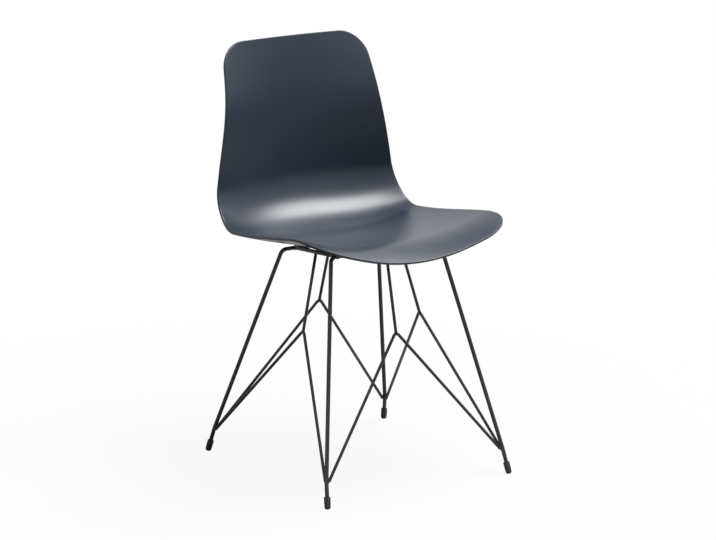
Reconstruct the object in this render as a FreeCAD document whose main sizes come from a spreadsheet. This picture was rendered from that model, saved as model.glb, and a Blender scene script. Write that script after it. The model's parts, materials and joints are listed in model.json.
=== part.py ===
import FreeCAD, Part
import math
import os

import Sketcher
from FreeCAD import Placement, Rotation, Vector

# Moulded plastic shell chair. Millimetres, +Z up, the sitter faces -Y and +X is the sitter's left.
# The origin is on the floor, under the middle of the chair's length and width.

os.makedirs("parts", exist_ok=True)
document = FreeCAD.newDocument("ShellChair")

# Driving dimensions

dimensions = {
    # Wire stock and its bends
    "rodDiameter": 8,
    "wireDiameter": 6,
    "hoopBendRadius": 12,
    "ankleBendRadius": 60,
    "forkBendRadius": 7,
    "weldClearance": 0.05,
    # Feet, measured where the leg axes meet the floor
    "frontFootHalfWidth": 211,
    "frontFootForward": 239,
    "rearFootHalfWidth": 211,
    "rearFootBack": 215,
    # Ankles, the gentle bends low on the legs where the forks are welded
    "ankleHeight": 50,
    "frontAnkleHalfWidth": 204.5,
    "frontAnkleForward": 224.5,
    "rearAnkleHalfWidth": 204,
    "rearAnkleBack": 200,
    # Cross rods, the level tops of the two leg hoops
    "frontRodHeight": 457,
    "frontRodForward": 116,
    "frontRodHalfWidth": 125,
    "rearRodBelowFront": 27,
    "rearRodBack": 85.5,
    "rearRodHalfWidth": 112,
    # Side rails between the cross rods
    "railFrontHalfWidth": 110,
    "railRearHalfWidth": 82,
    # Y braces: where each stem forks
    "frontForkHeight": 300.5,
    "frontForkForward": 152,
    "rearForkHeight": 305.5,
    "rearForkBack": 127,
    "sideForkHeight": 295.5,
    "sideForkHalfWidth": 135,
    "sideForkForward": 31,
    "sideStemForward": 15,
    # Foot caps
    "capDiameter": 13,
    "capTipDiameter": 12,
    "capLength": 24,
    "capFloor": 4,
    "capFitClearance": 0.05,
    "capTipRounding": 4.5,
    "capFlatDepth": 0.8,
    # Mounting hardware under the seat
    "mountFromRod": 30,
    "mountFromRail": 17,
    "plateLap": 3,
    "plateMargin": 14,
    "plateThickness": 3,
    "plateCorner": 5,
    "plateHoleDiameter": 6.6,
    "padDiameter": 24,
    "padThickness": 2,
    "bossDiameter": 25,
    "insertDiameter": 9,
    "insertLength": 7,
    "insertFitClearance": 0.05,
    "screwDiameter": 6,
    "screwReach": 13,
    "screwHeadDiameter": 11,
    "screwHeadHeight": 3.3,
    "screwSocketAcross": 4,
    "screwSocketDepth": 2,
    "threadClearance": 0.05,
    "washerDiameter": 12,
    "washerThickness": 1.6,
    # Shell, middle of its thickness, seen from the side
    "shellThickness": 5,
    "frontEdgeForward": 240.5,
    "frontEdgeAboveRod": 0.5,
    "brimRadius": 177.5,
    "seatSlopeAngle": 6.9,
    "bendRadius": 109,
    "seatRearBack": 97.1,
    "seatRearBelowRod": 11.5,
    "lumbarAboveRod": 142,
    "lumbarRadius": 1135,
    "topEdgeAboveRod": 366.2,
    "frontCornerRadius": 71,
    "topCornerRadius": 50,
    # Shell, half widths at places along the middle line
    "brimHalfWidth": 224,
    "waistHalfWidth": 216.7,
    "bendHalfWidth": 211.3,
    "lumbarHalfWidth": 203,
    "shoulderHalfWidth": 177,
    "topHalfWidth": 162,
    # Shell, how far the side edges rise out of the middle line
    "brimLift": 58.5,
    "frontSeatLift": 39.7,
    "hipLift": 28.6,
    "bendLift": 40.7,
    "lumbarLift": 42,
    "shoulderLift": 37,
    "topLift": 13,
    # Shell, how flat the middle is: 2 is a plain bow, more is flatter with steeper sides
    "brimFlatness": 2.02,
    "seatFlatness": 2.76,
    "backFlatness": 2,
    # Shell, how far the side edges roll down again at the front, and how sharply: more is nearer the edge
    "brimRoll": 22,
    "frontSeatRoll": 5,
    "rollSharpness": 7.7,
}

sheet = document.addObject("Spreadsheet::Sheet", "Dims")
for row, (alias, value) in enumerate(dimensions.items(), start=1):
    sheet.set(f"A{row}", alias)
    sheet.set(f"B{row}", str(value))
    sheet.setAlias(f"B{row}", alias)
document.recompute()


def size(alias):
    """The value of a named cell of the sheet."""
    return float(getattr(sheet, alias))


class Formula:
    """A size worked out from cells: its value now, and its text for setExpression."""

    def __init__(self, value, text):
        self.value = value
        self.text = text

    def combined(self, other, sign, value):
        text = other.text if isinstance(other, Formula) else str(other)
        return Formula(value, f"({self.text} {sign} {text})")

    def __add__(self, other):
        return self.combined(other, "+", self.value + plain(other))

    def __sub__(self, other):
        return self.combined(other, "-", self.value - plain(other))

    def __mul__(self, other):
        return self.combined(other, "*", self.value * plain(other))

    def __truediv__(self, other):
        return self.combined(other, "/", self.value / plain(other))


def plain(number):
    return number.value if isinstance(number, Formula) else number


def cell(alias):
    return Formula(size(alias), f"Dims.{alias}")


# Objects of the document


def add(kind, name, **bound):
    """A new object; each keyword is a property of it, bound to a formula of cells."""
    item = document.addObject(kind, name)
    for prop, formula in bound.items():
        setattr(item, prop, formula.value)
        item.setExpression(prop, formula.text)
    return item


def cut(name, base, tool):
    item = document.addObject("Part::Cut", name)
    item.Base = base
    item.Tool = tool
    return item


def grouped(name, members):
    item = document.addObject("Part::Compound", name)
    item.Links = members
    return item


subParts = []


def subPart(item, label):
    """Marks an object as a finished piece; its label names its file."""
    item.Label = label
    subParts.append(item)
    return item


def turned(axis):
    """The rotation that lays the Z axis along the given one."""
    return Rotation(Vector(0, 0, 1), axis)


def unit(vector):
    return Vector(vector).normalize()


def mirrored(point, side):
    """The point on the sitter's left (side 1) or right (side -1)."""
    return Vector(side * point.x, point.y, point.z)


sides = {"left": 1, "right": -1}


# Sketches


def sketchOn(body, name, role):
    """An empty sketch on one of the body's own origin planes."""
    sketch = body.newObject("Sketcher::SketchObject", name)
    plane = next(item for item in body.Origin.OriginFeatures if item.Role == role)
    sketch.AttachmentSupport = [(plane, "")]
    sketch.MapMode = "FlatFace"
    return sketch


def pin(sketch, geometry, vertex, across, up):
    """Ties a point of the sketch to formulas for its distances from the origin."""
    for axis, kind, distance in ((-2, "DistanceX", across), (-1, "DistanceY", up)):
        if plain(distance) == 0:
            sketch.addConstraint(Sketcher.Constraint("PointOnObject", geometry, vertex, axis))
            continue
        number = sketch.addConstraint(
            Sketcher.Constraint(kind, -1, 1, geometry, vertex, distance.value))
        sketch.setExpression(f"Constraints[{number}]", distance.text)


def outline(sketch, corners):
    """A closed outline of straight lines through corners given as pairs of formulas."""
    points = [Vector(plain(across), plain(up), 0) for across, up in corners]
    count = len(points)
    for number in range(count):
        sketch.addGeometry(Part.LineSegment(points[number], points[(number + 1) % count]), False)
    for number in range(count):
        sketch.addConstraint(
            Sketcher.Constraint("Coincident", number, 2, (number + 1) % count, 1))
        pin(sketch, number, 1, *corners[number])


def circle(sketch, across, up, diameter):
    centre = Vector(plain(across), plain(up), 0)
    number = sketch.addGeometry(Part.Circle(centre, Vector(0, 0, 1), diameter.value / 2), False)
    pin(sketch, number, 3, across, up)
    constraint = sketch.addConstraint(Sketcher.Constraint("Diameter", number, diameter.value))
    sketch.setExpression(f"Constraints[{constraint}]", diameter.text)


def feature(body, kind, name, **bound):
    item = body.newObject(kind, name)
    for prop, formula in bound.items():
        item.setExpression(prop, formula.text)
    return item


def edgesWhere(item, test):
    """Names of the edges of a feature that pass a test."""
    return [f"Edge{number}" for number, edge in enumerate(item.Shape.Edges, start=1) if test(edge)]


# Rods


def bend(before, corner, after, radius):
    """Start, middle and end of the arc that rounds a corner."""
    inward = unit(before - corner)
    outward = unit(after - corner)
    turn = math.pi - inward.getAngle(outward)
    setback = radius * math.tan(turn / 2)
    middle = corner + unit(inward + outward) * (math.hypot(radius, setback) - radius)
    return corner + inward * setback, middle, corner + outward * setback


def rodPath(corners, radii):
    """A wire through the corners with a tangent arc of the given radius at each inner one."""
    edges = []
    start = corners[0]
    for before, corner, after, radius in zip(corners, corners[1:], corners[2:], radii):
        arcStart, middle, arcEnd = bend(before, corner, after, radius)
        edges.append(Part.LineSegment(start, arcStart).toShape())
        edges.append(Part.Arc(arcStart, middle, arcEnd).toShape())
        start = arcEnd
    edges.append(Part.LineSegment(start, corners[-1]).toShape())
    return Part.Wire(edges)


def bentRod(name, corners, radii, diameter):
    """A round rod swept along a bent path."""
    path = document.addObject("Part::Feature", name + "Path")
    path.Shape = rodPath(corners, radii)
    profile = add("Part::Circle", name + "Profile", Radius=diameter / 2)
    profile.Placement = Placement(corners[0], turned(unit(corners[1] - corners[0])))
    sweep = document.addObject("Part::Sweep", name)
    sweep.Sections = [profile]
    sweep.Spine = (path, [f"Edge{number}" for number in range(1, len(path.Shape.Edges) + 1)])
    sweep.Solid = True
    return sweep


def straightRod(name, start, end, diameter):
    """A straight round rod; its seam is turned aside, clear of the joints that cope its ends."""
    bar = add("Part::Cylinder", name, Radius=diameter / 2)
    bar.Height = (end - start).Length
    aside = Rotation(Vector(0, 0, 1), 50)
    bar.Placement = Placement(start, turned(unit(end - start)).multiply(aside))
    return bar


rod = cell("rodDiameter")
wire = cell("wireDiameter")

# Frame points, on the sitter's left

frontFoot = Vector(size("frontFootHalfWidth"), -size("frontFootForward"), 0)
rearFoot = Vector(size("rearFootHalfWidth"), size("rearFootBack"), 0)
frontAnkle = Vector(size("frontAnkleHalfWidth"), -size("frontAnkleForward"), size("ankleHeight"))
rearAnkle = Vector(size("rearAnkleHalfWidth"), size("rearAnkleBack"), size("ankleHeight"))
frontShoulder = Vector(size("frontRodHalfWidth"), -size("frontRodForward"), size("frontRodHeight"))
rearRodHeight = size("frontRodHeight") - size("rearRodBelowFront")
rearShoulder = Vector(size("rearRodHalfWidth"), size("rearRodBack"), rearRodHeight)
frontFork = Vector(0, -size("frontForkForward"), size("frontForkHeight"))
rearFork = Vector(0, size("rearForkBack"), size("rearForkHeight"))
sideFork = Vector(size("sideForkHalfWidth"), -size("sideForkForward"), size("sideForkHeight"))

legs = {"front": (frontFoot, frontAnkle, frontShoulder), "rear": (rearFoot, rearAnkle, rearShoulder)}

# The deck is the sloping plane through the axes of the two cross rods. Heights are square to it.

deckRise = frontShoulder.z - rearShoulder.z
deckRun = rearShoulder.y - frontShoulder.y
deckTilt = math.degrees(math.atan2(deckRise, deckRun))
deckTurn = Rotation(Vector(1, 0, 0), -deckTilt)
deckNormal = deckTurn.multVec(Vector(0, 0, 1))


def deckPoint(across, back, height=0):
    level = rearShoulder.z + (rearShoulder.y - back) * deckRise / deckRun
    return Vector(across, back, level) + deckNormal * height


def railHalfWidth(back):
    """Distance of the side rail's axis from the middle of the chair."""
    share = (rearShoulder.y - back) / deckRun
    return size("railRearHalfWidth") + share * (size("railFrontHalfWidth") - size("railRearHalfWidth"))


# Feet: a cap's rounded tip is worn to a small flat on the floor


def capTip(foot, ankle):
    """The middle of a cap's tip, on the leg's axis, where the tip's rounding reaches just into the floor."""
    tilt = (ankle - foot).getAngle(Vector(0, 0, 1))
    flatRadius = size("capTipDiameter") / 2 - size("capTipRounding")
    lowest = flatRadius * math.sin(tilt) + size("capTipRounding") * (1 - math.cos(tilt))
    return foot + unit(ankle - foot) * ((lowest - size("capFlatDepth")) / math.cos(tilt))


# Leg hoops: each is one rod, up one leg, across under the seat and down the other leg

hoops = {}
for end, (foot, ankle, shoulder) in legs.items():
    footEnd = capTip(foot, ankle) + unit(ankle - foot) * size("capFloor")
    leftHalf = [footEnd, ankle, shoulder]
    corners = leftHalf + [mirrored(point, -1) for point in reversed(leftHalf)]
    ankleRadius = size("ankleBendRadius")
    shoulderRadius = size("hoopBendRadius")
    radii = [ankleRadius, shoulderRadius, shoulderRadius, ankleRadius]
    hoops[end] = subPart(bentRod(end + "Hoop", corners, radii, rod), end + "_leg_hoop")
bothHoops = grouped("Hoops", list(hoops.values()))

# Side rails, butted against both cross rods

rails = {}
for name, side in sides.items():
    railStart = deckPoint(side * railHalfWidth(frontShoulder.y), frontShoulder.y)
    railEnd = deckPoint(side * railHalfWidth(rearShoulder.y), rearShoulder.y)
    bar = straightRod(name + "RailBar", railStart, railEnd, rod)
    rails[name] = subPart(cut(name + "Rail", bar, bothHoops), name + "_side_rail")

# Brace forks: one wire each, bent to a V, its ends lapped against the inner side of two ankles


def lapPoint(ankle, shoulder, fork):
    """Where a fork's wire ends beside the leg, close enough for its end to be coped to the rod."""
    along = unit(shoulder - ankle)
    towards = fork - ankle
    beside = unit(towards - along * towards.dot(along))
    return ankle + beside * (rod.value / 2 + wire.value / 4)


def forkWire(name, fork, laps):
    bent = bentRod(name + "ForkWire", [laps[0], fork, laps[1]], [size("forkBendRadius")], wire)
    return cut(name + "Fork", bent, bothHoops)


def stem(name, top, fork, laps, above):
    """A stem from the middle of the rod above it to the crook of the fork, coped to both."""
    arcStart, crook, arcEnd = bend(laps[0], fork, laps[1], size("forkBendRadius"))
    reach = unit(arcEnd - arcStart) * wire.value
    bar = straightRod(name + "StemBar", top, crook, wire)
    saddle = straightRod(name + "StemSaddle", crook - reach, crook + reach, wire + cell("weldClearance") * 2)
    return cut(name + "Stem", cut(name + "StemTop", bar, above), saddle)


for end, fork in (("front", frontFork), ("rear", rearFork)):
    foot, ankle, shoulder = legs[end]
    lap = lapPoint(ankle, shoulder, fork)
    laps = [lap, mirrored(lap, -1)]
    subPart(forkWire(end, fork, laps), end + "_brace_fork")
    top = Vector(0, shoulder.y, shoulder.z)
    subPart(stem(end, top, fork, laps, hoops[end]), end + "_brace_stem")

for name, side in sides.items():
    fork = mirrored(sideFork, side)
    laps = [mirrored(lapPoint(ankle, shoulder, sideFork), side) for foot, ankle, shoulder in legs.values()]
    subPart(forkWire(name, fork, laps), name + "_brace_fork")
    back = -size("sideStemForward")
    top = deckPoint(side * railHalfWidth(back), back)
    subPart(stem(name, top, fork, laps, rails[name]), name + "_brace_stem")

# Foot caps: a tapered plug pushed over each leg end


def capBody(name):
    body = document.addObject("PartDesign::Body", name)
    profile = sketchOn(body, name + "Profile", "XZ_Plane")
    bore = rod / 2 + cell("capFitClearance")
    tip = cell("capTipDiameter") / 2
    mouth = cell("capDiameter") / 2
    outline(profile, [(0, 0), (tip, 0), (mouth, cell("capLength")), (bore, cell("capLength")),
                      (bore, cell("capFloor")), (0, cell("capFloor"))])
    turnedProfile = body.newObject("PartDesign::Revolution", name + "Turned")
    turnedProfile.Profile = profile
    turnedProfile.ReferenceAxis = (profile, ["V_Axis"])
    turnedProfile.Angle = 360
    document.recompute()
    rounding = feature(body, "PartDesign::Fillet", name + "Tip", Radius=cell("capTipRounding"))
    tipEdges = edgesWhere(turnedProfile, lambda edge: edge.BoundBox.ZMax < 0.001 and edge.isClosed())
    rounding.Base = (turnedProfile, tipEdges)
    return body


floorSlab = document.addObject("Part::Box", "FloorSlab")
floorSlab.Length = 4 * size("frontFootHalfWidth")
floorSlab.Width = 4 * size("frontFootForward")
floorSlab.Height = size("capLength")
floorSlab.Placement.Base = Vector(-floorSlab.Length.Value / 2, -floorSlab.Width.Value / 2, -floorSlab.Height.Value)

for end, (foot, ankle, shoulder) in legs.items():
    for name, side in sides.items():
        cap = capBody(f"{end}{name.title()}Cap")
        cap.Placement = Placement(mirrored(capTip(foot, ankle), side), turned(mirrored(unit(ankle - foot), side)))
        subPart(cut(f"{end}{name.title()}WornCap", cap, floorSlab), f"{end}_{name}_foot_cap")

# Mounts: a plate on the rail near each of its ends carries a pad, a boss of the shell and one screw

mounts = []
for end, shoulder, forward in (("front", frontShoulder, 1), ("rear", rearShoulder, -1)):
    back = shoulder.y + forward * size("mountFromRod")
    for name, side in sides.items():
        across = side * (railHalfWidth(back) - size("mountFromRail"))
        mounts.append((end, name, across, back, side, forward))

# Heights above the deck of the faces that the mount's pieces share

plateBottom = rod.value / 2
plateTop = plateBottom + size("plateThickness")
bossBottom = plateTop + size("padThickness")
washerBottom = plateBottom - size("washerThickness")


def plateBody(name):
    """A plate from its outer edge on the rail to a margin past the hole, as far to both sides of it."""
    body = document.addObject("PartDesign::Body", name)
    profile = sketchOn(body, name + "Profile", "XY_Plane")
    holeAcross = cell("mountFromRail") + cell("plateLap")
    holeAlong = cell("plateMargin")
    width = holeAcross + cell("plateMargin")
    length = holeAlong + cell("plateMargin")
    outline(profile, [(0, 0), (width, 0), (width, length), (0, length)])
    circle(profile, holeAcross, holeAlong, cell("plateHoleDiameter"))
    pad = feature(body, "PartDesign::Pad", name + "Pad", Length=cell("plateThickness"))
    pad.Profile = profile
    document.recompute()
    corners = feature(body, "PartDesign::Fillet", name + "Corners", Radius=cell("plateCorner"))
    corners.Base = (pad, edgesWhere(pad, uprightStraight))
    return body


def uprightStraight(edge):
    straight = isinstance(edge.Curve, Part.Line)
    return straight and abs(edge.tangentAt(edge.FirstParameter).z) > 0.999 and not onHole(edge)


def onHole(edge):
    """True for the seam of the plate's hole, which is no corner."""
    point = edge.valueAt(edge.FirstParameter)
    return abs(point.y - size("plateMargin")) < 0.001


def ring(name, outer, inner, thickness):
    body = document.addObject("PartDesign::Body", name)
    profile = sketchOn(body, name + "Profile", "XY_Plane")
    circle(profile, 0, 0, outer)
    circle(profile, 0, 0, inner)
    pad = feature(body, "PartDesign::Pad", name + "Pad", Length=thickness)
    pad.Profile = profile
    return body


def screw(name, place):
    """A button-headed screw with a hex socket, its tip up in the insert."""
    shank = add("Part::Cylinder", name + "Shank", Radius=cell("screwDiameter") / 2, Height=cell("screwReach"))
    shank.Placement = place
    head = add("Part::Cylinder", name + "Head", Radius=cell("screwHeadDiameter") / 2,
               Height=cell("screwHeadHeight"))
    head.Placement = place * Placement(Vector(0, 0, -size("screwHeadHeight")), Rotation())
    socket = add("Part::Prism", name + "Socket", Circumradius=cell("screwSocketAcross") / math.sqrt(3),
                 Height=cell("screwSocketDepth"))
    socket.Polygon = 6
    socket.Placement = head.Placement
    blank = document.addObject("Part::MultiFuse", name + "Blank")
    blank.Shapes = [shank, head]
    return cut(name, blank, socket)


def standing(across, back, height):
    """A place on the deck with its Z axis square to the deck."""
    return Placement(deckPoint(across, back, height), deckTurn)


screws = []
washers = []
inserts = []
bosses = []
screwHole = cell("screwDiameter") + cell("threadClearance") * 2
for end, name, across, back, side, forward in mounts:
    title = f"{end}{name.title()}"
    plate = plateBody(title + "Plate")
    lap = size("plateLap")
    outerCorner = Vector(across + side * (size("mountFromRail") + lap),
                         back - forward * size("plateMargin"), 0)
    # The plate's sketch runs from its outer corner inwards; turning it about Z swaps the axes' signs.
    facing = {(1, 1): Rotation(Vector(0, 1, 0), 180), (1, -1): Rotation(Vector(0, 0, 1), 180),
              (-1, 1): Rotation(), (-1, -1): Rotation(Vector(1, 0, 0), 180)}[(side, forward)]
    flipped = facing.multVec(Vector(0, 0, 1)).z < 0
    plateHeight = plateTop if flipped else plateBottom
    plate.Placement = Placement(deckPoint(outerCorner.x, outerCorner.y, plateHeight), deckTurn.multiply(facing))
    subPart(plate, f"{end}_{name}_mounting_plate")
    pad = ring(title + "Pad", cell("padDiameter"), cell("plateHoleDiameter"), cell("padThickness"))
    pad.Placement = standing(across, back, plateTop)
    subPart(pad, f"{end}_{name}_mounting_pad")
    washer = ring(title + "Washer", cell("washerDiameter"), cell("plateHoleDiameter"), cell("washerThickness"))
    washer.Placement = standing(across, back, washerBottom)
    washers.append(washer)
    screws.append(screw(title + "Screw", standing(across, back, washerBottom)))
    insert = ring(title + "Insert", cell("insertDiameter"), screwHole, cell("insertLength"))
    insert.Placement = standing(across, back, bossBottom)
    inserts.append(insert)
subPart(grouped("Screws", screws), "mounting_screws")
subPart(grouped("Washers", washers), "screw_washers")
subPart(grouped("Inserts", inserts), "threaded_inserts")

# Shell, side view: the middle line of its thickness, from the front edge to the top edge, is an arc
# over the brim, a straight sloping seat, an arc for the bend, a short upright and a lumbar arc.

brimRadius = size("brimRadius")
bendRadius = size("bendRadius")
lumbarRadius = size("lumbarRadius")
seatSlope = math.radians(size("seatSlopeAngle"))
frontEdge = Vector(0, -size("frontEdgeForward"), frontShoulder.z + size("frontEdgeAboveRod"))
seatRear = Vector(0, size("seatRearBack"), frontShoulder.z - size("seatRearBelowRod"))
lumbarHeight = frontShoulder.z + size("lumbarAboveRod")
lumbarRise = size("topEdgeAboveRod") - size("lumbarAboveRod")
seatNormal = Vector(0, math.sin(seatSlope), math.cos(seatSlope))
seatForward = Vector(0, -math.cos(seatSlope), math.sin(seatSlope))
bendCentre = seatRear + seatNormal * bendRadius
# The brim's centre is one radius below the seat's line and one radius from the front edge.
toCentreLine = seatRear - seatNormal * brimRadius - frontEdge
projection = toCentreLine.dot(seatForward)
seatLength = -projection - math.sqrt(projection ** 2 - toCentreLine.dot(toCentreLine) + brimRadius ** 2)
seatFront = seatRear + seatForward * seatLength
brimCentre = seatFront - seatNormal * brimRadius
brimAngle = (frontEdge - brimCentre).getAngle(seatNormal)
bendAngle = math.pi / 2 + seatSlope
uprightLength = lumbarHeight - bendCentre.z
lumbarAngle = math.asin(lumbarRise / lumbarRadius)
lumbarCentre = Vector(0, bendCentre.y + bendRadius + lumbarRadius, lumbarHeight)


def direction(angle):
    """Unit vector in side view, at an angle from straight back (+Y) towards up."""
    return Vector(0, math.cos(angle), math.sin(angle))


brimTravel = brimRadius * brimAngle
seatTravel = brimTravel + seatLength
bendTravel = seatTravel + bendRadius * bendAngle
uprightTravel = bendTravel + uprightLength
topTravel = uprightTravel + lumbarRadius * lumbarAngle


def middleLine(travel):
    """Point of the middle line at a distance from the front edge, its inward normal, and the way its
    sides rise: square to the seat on the brim too, and straight forward all the way up the back."""
    if travel < brimTravel:
        normal = direction(math.pi / 2 - seatSlope + (brimTravel - travel) / brimRadius)
        return brimCentre + normal * brimRadius, normal, seatNormal
    if travel < seatTravel:
        return seatFront - seatForward * (travel - brimTravel), seatNormal, seatNormal
    if travel < bendTravel:
        outward = direction(-math.pi / 2 - seatSlope + (travel - seatTravel) / bendRadius)
        return bendCentre + outward * bendRadius, outward * -1, outward * -1
    forward = Vector(0, -1, 0)
    if travel < uprightTravel:
        return bendCentre + Vector(0, bendRadius, travel - bendTravel), forward, forward
    normal = direction(math.pi - (travel - uprightTravel) / lumbarRadius)
    return lumbarCentre + normal * lumbarRadius, normal, forward


def blended(travel, stops):
    """A smooth curve through (travel, value) stops, with slopes taken from the neighbours."""
    places = [stop[0] for stop in stops]
    values = [stop[1] for stop in stops]
    slopes = [(b - a) / (q - p) for p, q, a, b in zip(places, places[1:], values, values[1:])]
    tangents = [slopes[0]] + [(a + b) / 2 for a, b in zip(slopes, slopes[1:])] + [slopes[-1]]
    spans = len(slopes)
    number = min(spans - 1, sum(travel > place for place in places[1:]))
    span = places[number + 1] - places[number]
    x = (travel - places[number]) / span
    return (values[number] * (1 + 2 * x) * (1 - x) ** 2 + values[number + 1] * x * x * (3 - 2 * x)
            + span * x * (1 - x) * (tangents[number] * (1 - x) - tangents[number + 1] * x))


bendMiddle = (seatTravel + bendTravel) / 2
shoulderTravel = (uprightTravel + topTravel) / 2
halfWidths = [(0, size("brimHalfWidth")), (brimTravel, size("brimHalfWidth")),
              (seatTravel, size("waistHalfWidth")), (bendMiddle, size("bendHalfWidth")),
              (bendTravel, size("lumbarHalfWidth")), (shoulderTravel, size("shoulderHalfWidth")),
              (topTravel, size("topHalfWidth"))]
lifts = [(0, size("brimLift")), (brimTravel, size("frontSeatLift")), (seatTravel, size("hipLift")),
         (bendMiddle, size("bendLift")), (uprightTravel, size("lumbarLift")),
         (shoulderTravel, size("shoulderLift")), (topTravel, size("topLift"))]
flatnesses = [(0, size("brimFlatness")), (brimTravel, size("seatFlatness")),
              (seatTravel, size("seatFlatness")), (bendTravel, size("backFlatness")),
              (topTravel, size("backFlatness"))]
rolls = [(0, size("brimRoll")), (brimTravel, size("frontSeatRoll")), (seatTravel, 0), (bendTravel, 0),
         (topTravel, 0)]


def shellPoint(travel, across, offset=0):
    """A point of the shell at a distance across from the middle line, offset square to its sheet."""
    centre, normal, rising = middleLine(travel)
    halfWidth = blended(travel, halfWidths)
    lift = blended(travel, lifts)
    flatness = blended(travel, flatnesses)
    roll = blended(travel, rolls)
    sharpness = size("rollSharpness")
    share = abs(across) / halfWidth
    rise = lift * share ** flatness - roll * share ** sharpness
    steepness = lift * flatness * share ** (flatness - 1) - roll * sharpness * share ** (sharpness - 1)
    lean = -math.copysign(steepness / halfWidth, across)
    square = unit(Vector(lean, 0, 0) + normal)
    return centre + Vector(across, 0, 0) + rising * rise + square * offset


def evenly(start, end, count):
    return [start + (end - start) * number / count for number in range(count)]


travels = (evenly(0, brimTravel, 5) + evenly(brimTravel, seatTravel, 5) + evenly(seatTravel, bendTravel, 8)
           + evenly(bendTravel, uprightTravel, 2) + evenly(uprightTravel, topTravel, 6) + [topTravel])
shares = evenly(-1, 1, 20) + [1]
shellHalf = size("shellThickness") / 2


def skin(offset):
    """The shell's surface at an offset from the middle of its thickness."""
    surface = Part.BSplineSurface()
    surface.interpolate([[shellPoint(travel, share * blended(travel, halfWidths), offset) for share in shares]
                         for travel in travels])
    return surface.toShape()


def sheetSolid(inner, outer):
    """The solid between two skins, closed by ruled faces round their edges."""
    faces = [inner.Face1, outer.Face1]
    for one in inner.Edges:
        nearest = min(outer.Edges, key=lambda other: other.CenterOfMass.distanceToPoint(one.CenterOfMass))
        faces.append(Part.makeRuledSurface(one, nearest))
    closed = Part.makeCompound(faces)
    closed.sewShape()
    shell = closed.Shells[0]
    if Part.makeSolid(shell).Orientation == "Reversed":
        shell = shell.reversed()
    return Part.makeSolid(shell)


def cornerCutter(end, inset, radius, side):
    """The waste outside a rounded corner: inset is -1 at the top edge and 1 at the front edge."""
    halfWidth = blended(end, halfWidths)
    corner = shellPoint(end, side * halfWidth)
    onSide = shellPoint(end + inset * radius, side * blended(end + inset * radius, halfWidths))
    onEnd = shellPoint(end, side * (halfWidth - radius))
    arcStart, middle, arcEnd = bend(onSide, corner, onEnd, radiusFor(onSide, corner, onEnd))
    beyond = (corner - arcStart) + (corner - arcEnd)
    wasteSide = arcStart + (corner - arcEnd)
    wasteEnd = arcEnd + (corner - arcStart)
    waste = Part.Wire([Part.Arc(arcStart, middle, arcEnd).toShape(), Part.makeLine(arcEnd, wasteEnd),
                       Part.makeLine(wasteEnd, corner + beyond), Part.makeLine(corner + beyond, wasteSide),
                       Part.makeLine(wasteSide, arcStart)])
    square = unit((onSide - corner).cross(onEnd - corner))
    depth = square * radius
    return Part.Face(waste).translated(depth * -1).extrude(depth * 2)


def radiusFor(one, corner, other):
    """The radius of the arc that leaves both edges of a corner as far from it as the nearer point."""
    reach = min((one - corner).Length, (other - corner).Length)
    turn = math.pi - (one - corner).getAngle(other - corner)
    return reach / math.tan(turn / 2)


shellBlank = document.addObject("Part::Feature", "ShellBlank")
shellBlank.Shape = sheetSolid(skin(shellHalf), skin(-shellHalf))
shellWaste = document.addObject("Part::Feature", "ShellWaste")
shellWaste.Shape = Part.makeCompound(
    [cornerCutter(end, inset, size(radius), side)
     for end, inset, radius in ((0, 1, "frontCornerRadius"), (topTravel, -1, "topCornerRadius"))
     for side in sides.values()])
shellSheet = cut("ShellSheet", shellBlank, shellWaste)


# Bosses under the seat: each stands on its pad and ends inside the thickness of the sheet


def seatTravelOver(point):
    """Distance along the middle line where the straight seat passes over a point of the deck."""
    return brimTravel + (seatFront - point).dot(seatForward)


bossPieces = [shellSheet]
insertHoles = []
for end, name, across, back, side, forward in mounts:
    title = f"{end}{name.title()}"
    foot = deckPoint(across, back, bossBottom)
    top = shellPoint(seatTravelOver(foot), across)
    boss = add("Part::Cylinder", title + "Boss", Radius=cell("bossDiameter") / 2)
    boss.Height = (top - foot).dot(deckNormal)
    boss.Placement = standing(across, back, bossBottom)
    bossPieces.append(boss)
    hole = add("Part::Cylinder", title + "InsertHole",
               Radius=cell("insertDiameter") / 2 + cell("insertFitClearance"),
               Height=cell("insertLength") + cell("insertFitClearance"))
    hole.Placement = standing(across, back, bossBottom)
    insertHoles.append(hole)
shellBody = document.addObject("Part::MultiFuse", "ShellBody")
shellBody.Shapes = bossPieces
subPart(cut("SeatShell", shellBody, grouped("InsertHoles", insertHoles)), "seat_shell")

document.recompute()

# Every object must have built, and every piece must be sound, before anything is written

broken = [item.Name for item in document.Objects if "Invalid" in item.State or "Error" in item.State]
if broken:
    raise RuntimeError(f"failed to build: {broken}")
for piece in subParts:
    shape = piece.Shape
    if shape.isNull() or not shape.isValid():
        raise RuntimeError(f"{piece.Label} has no sound shape")
for piece in subParts:
    piece.Shape.exportStep(f"parts/{piece.Label}.step")
    box = piece.Shape.BoundBox
    print(piece.Label, len(piece.Shape.Solids), round(piece.Shape.Volume),
          [round(value, 1) for value in (box.XMin, box.XMax, box.YMin, box.YMax, box.ZMin, box.ZMax)])
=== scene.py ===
import json
import math

import bmesh
import bpy
import numpy as np
from mathutils import Matrix


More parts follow.
